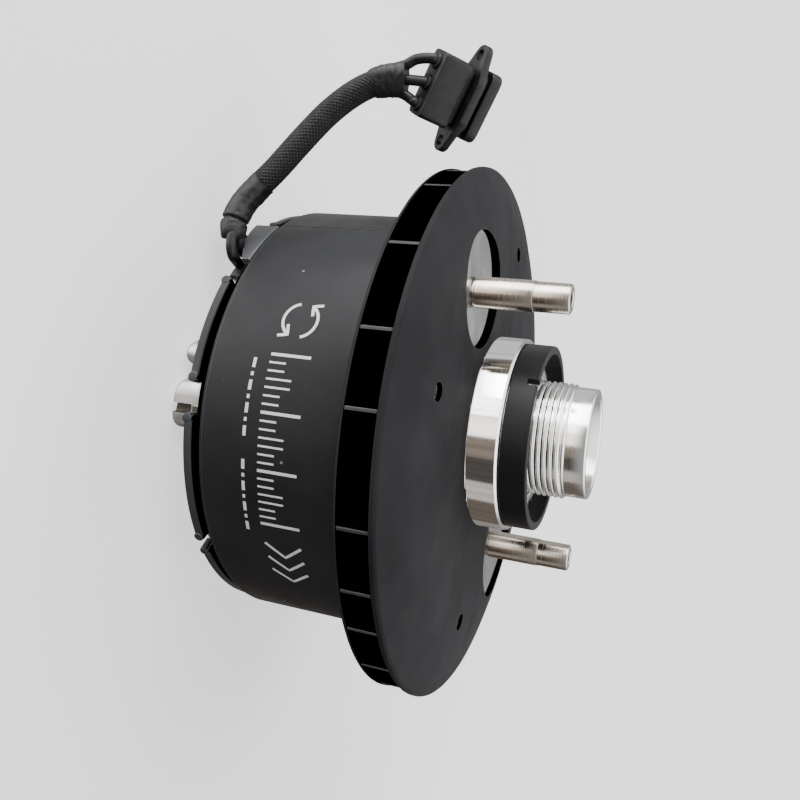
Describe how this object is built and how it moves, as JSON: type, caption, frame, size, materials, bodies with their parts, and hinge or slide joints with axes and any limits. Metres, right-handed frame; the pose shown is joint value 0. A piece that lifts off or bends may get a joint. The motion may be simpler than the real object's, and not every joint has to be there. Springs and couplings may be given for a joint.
{
  "type": "brushless outrunner motor",
  "caption": "Large flat outrunner motor: fan-topped rotor can on a lugged base, threaded hollow shaft, drive posts and a short connector lead.",
  "frame": {"origin": "on the motor's axis, in the plane of the four mounting lugs' faces", "axes": "+Z along the motor's axis from the base to the shaft's free end; the cable leaves at about 127 degrees clockwise from +X, seen from above"},
  "size_m": [0.164, 0.1396, 0.0954],
  "materials": {
    "cast_aluminium": "as cast, lightly machined",
    "grey_coat": "satin grey coating",
    "potting": "grey-tan potting resin",
    "steel": "turned, nickel plated",
    "machined_aluminium": "machined, bead blasted",
    "lamination": "stacked electrical steel",
    "copper": "enamelled copper wire",
    "can_coat": "satin charcoal coating",
    "magnet_nickel": "nickel plated magnets",
    "dark_anodised": "charcoal anodised, satin",
    "polished_aluminium": "turned and polished",
    "black_sleeve": "shrunk sleeve and silicone lead",
    "black_braid": "woven braid",
    "contact_gold": "gold plated",
    "black_plastic": "moulded"
  },
  "bodies": {
    "stator": {"base_plate": "cast_aluminium", "base_cover_ring": "grey_coat", "cable_guard": "grey_coat", "lead_potting": "potting", "base_screw_1": "steel", "base_screw_2": "steel", "base_screw_3": "steel", "base_screw_4": "steel", "tube_screw_1": "steel", "tube_screw_2": "steel", "tube_screw_3": "steel", "tube_screw_4": "steel", "bearing_tube": "machined_aluminium", "outer_spacer": "machined_aluminium", "stator_core": "lamination", "winding_phase_a": "copper", "winding_phase_b": "copper", "winding_phase_c": "copper", "lower_bearing_outer_race": "steel", "lower_bearing_shield": "steel", "upper_bearing_outer_race": "steel", "upper_bearing_shield": "steel", "base_sleeve": "black_sleeve", "end_sleeve": "black_sleeve", "base_lead_1": "black_sleeve", "base_lead_2": "black_sleeve", "base_lead_3": "black_sleeve", "tail_lead_1": "black_sleeve", "tail_lead_2": "black_sleeve", "tail_lead_3": "black_sleeve", "connector_seal": "black_sleeve", "cable_braid": "black_braid", "connector_contact_1": "contact_gold", "connector_contact_2": "contact_gold", "connector_contact_3": "contact_gold", "connector_housing": "black_plastic", "connector_flange": "black_plastic", "connector_shroud": "black_plastic"},
    "rotor": {"rotor_can": "can_coat", "magnet_ring": "magnet_nickel", "end_bell": "machined_aluminium", "cooling_fan": "dark_anodised", "fan_screw_1": "steel", "fan_screw_2": "steel", "fan_screw_3": "steel", "fan_screw_4": "steel", "hub_collar": "polished_aluminium", "clamp_ring": "dark_anodised", "lock_nut": "polished_aluminium", "hollow_shaft": "polished_aluminium", "drive_post_1": "steel", "drive_post_2": "steel", "lower_bearing_inner_race": "steel", "upper_bearing_inner_race": "steel", "inner_spacer": "machined_aluminium", "shaft_clip": "steel"},
    "lower_cage": {"lower_bearing_cage": "steel"},
    "upper_cage": {"upper_bearing_cage": "steel"}
  },
  "joints": [
    {"name": "rotor_spin", "type": "hinge", "parent": "stator", "child": "rotor", "pos_m": [0, 0, 0], "axis": [0, 0, 1], "continuous": true},
    {"name": "lower_cage_spin", "type": "hinge", "parent": "stator", "child": "lower_cage", "pos_m": [0, 0, 0.0175], "axis": [0, 0, 1], "continuous": true},
    {"name": "upper_cage_spin", "type": "hinge", "parent": "stator", "child": "upper_cage", "pos_m": [0, 0, 0.0455], "axis": [0, 0, 1], "continuous": true}
  ],
  "couplings": [
    {"joint": "lower_cage_spin", "follows": "rotor_spin", "ratio": 0.46},
    {"joint": "upper_cage_spin", "follows": "rotor_spin", "ratio": 0.46}
  ]
}
